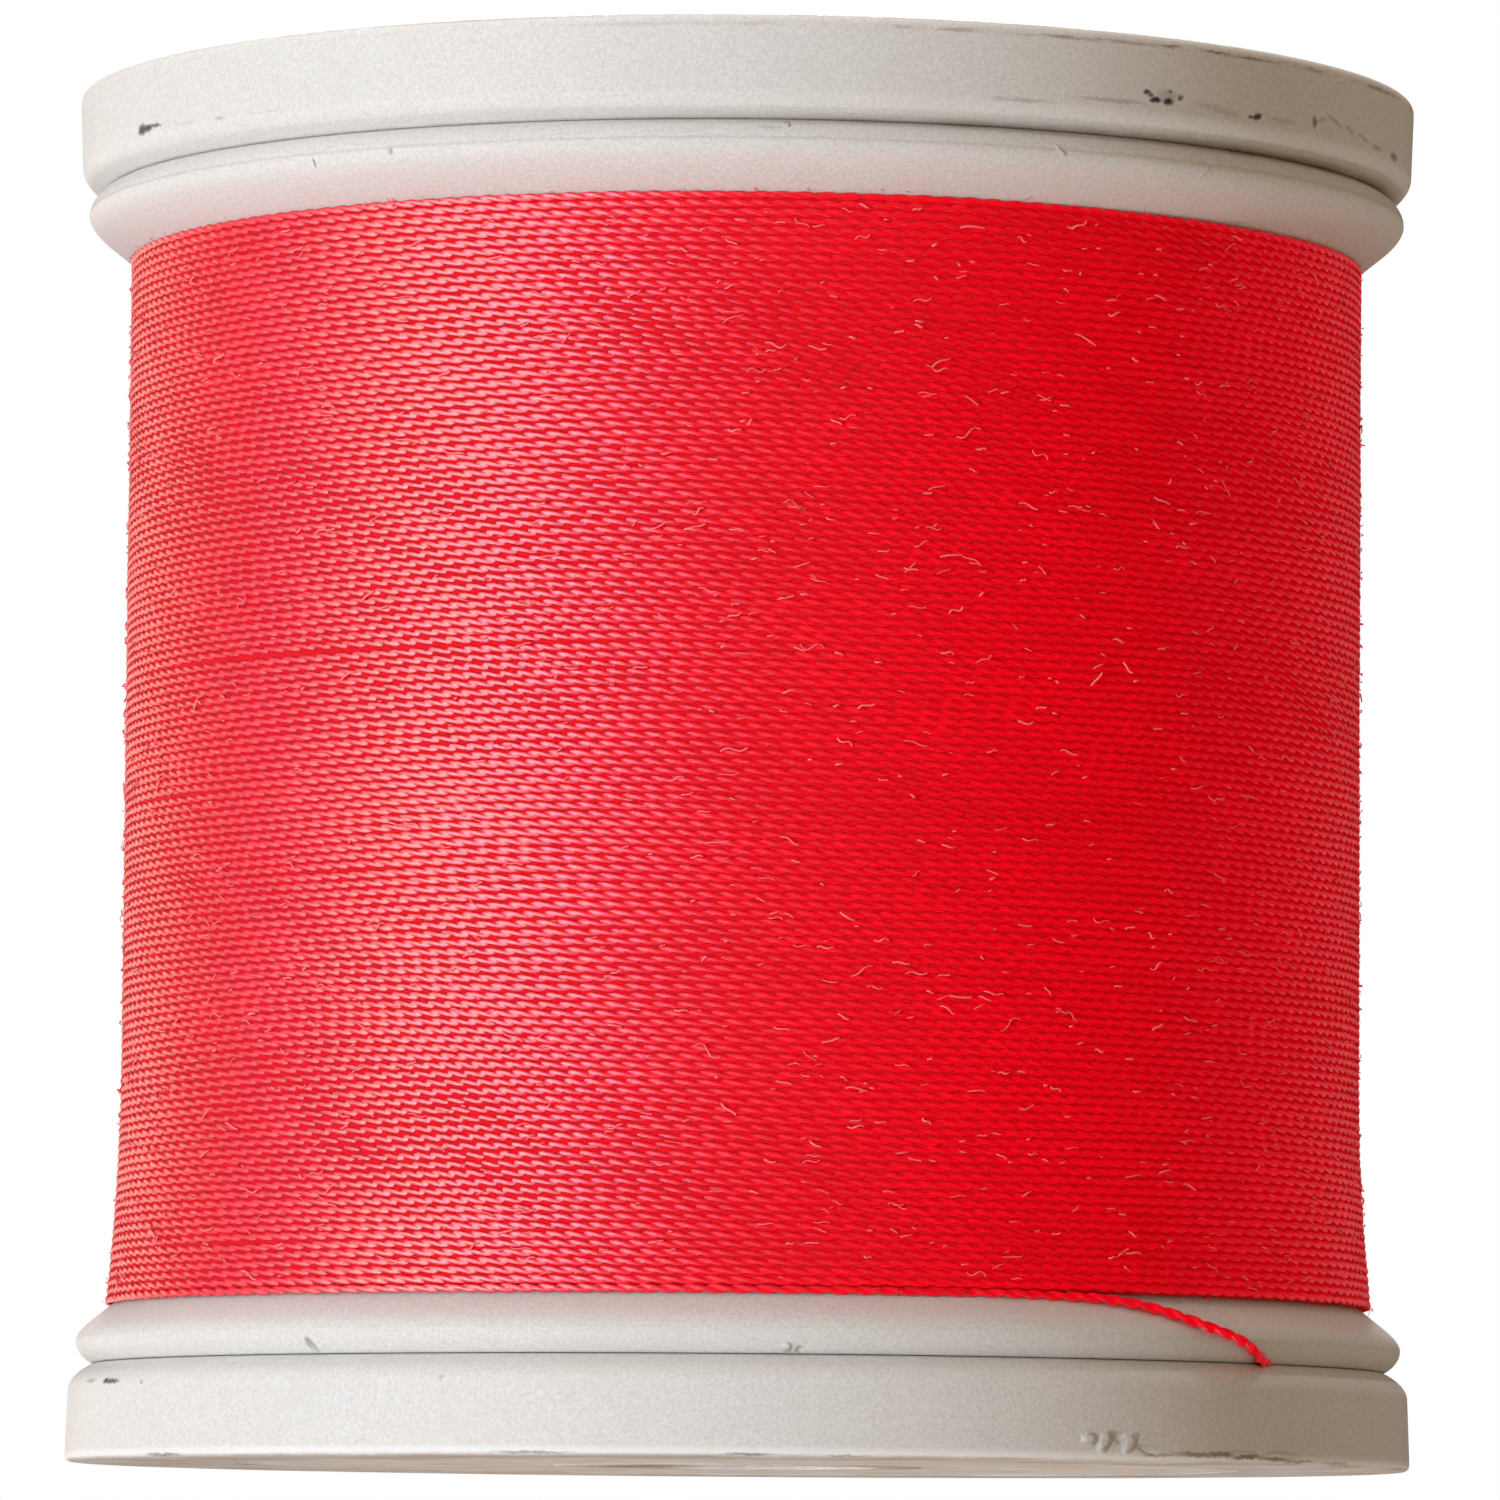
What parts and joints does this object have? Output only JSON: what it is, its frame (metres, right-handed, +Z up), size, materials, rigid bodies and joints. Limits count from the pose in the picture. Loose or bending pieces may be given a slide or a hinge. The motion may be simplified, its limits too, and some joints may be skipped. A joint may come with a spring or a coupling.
{
  "type": "spool of thread",
  "caption": "Upright sewing thread spool: a barrel with beaded flanges and snap-fit end caps, wound full with one thread whose tail is held in the slot under the lower flange.",
  "frame": {"origin": "centre of the lower end face, the face that the spool stands on", "axes": "+Z up along the spool's axis; the thread's tail enters its slot towards +X and -Y"},
  "size_m": [0.051, 0.051, 0.052],
  "materials": {
    "spool_plastic": "off-white satin moulding, finely grained, scuffed and chipped along its edges",
    "label_paper": "plain uncoated paper disc, bare",
    "thread": "bright red two-ply twisted thread, soft sheen, light fuzz"
  },
  "bodies": {
    "spool": {"barrel": "spool_plastic", "lower_flange": "spool_plastic", "upper_flange": "spool_plastic", "thread_inner_layers": "thread", "thread_outer_layer": "thread", "thread_tail": "thread"},
    "bottom_snap_cap": {"bottom_cap": "spool_plastic", "bottom_label": "label_paper"},
    "top_snap_cap": {"top_cap": "spool_plastic", "top_label": "label_paper"}
  },
  "joints": [
    {"name": "bottom_cap_snap", "type": "slide", "parent": "spool", "child": "bottom_snap_cap", "axis": [0, 0, -1], "range_m": [0, 0.002]},
    {"name": "top_cap_snap", "type": "slide", "parent": "spool", "child": "top_snap_cap", "axis": [0, 0, 1], "range_m": [0, 0.002]}
  ]
}
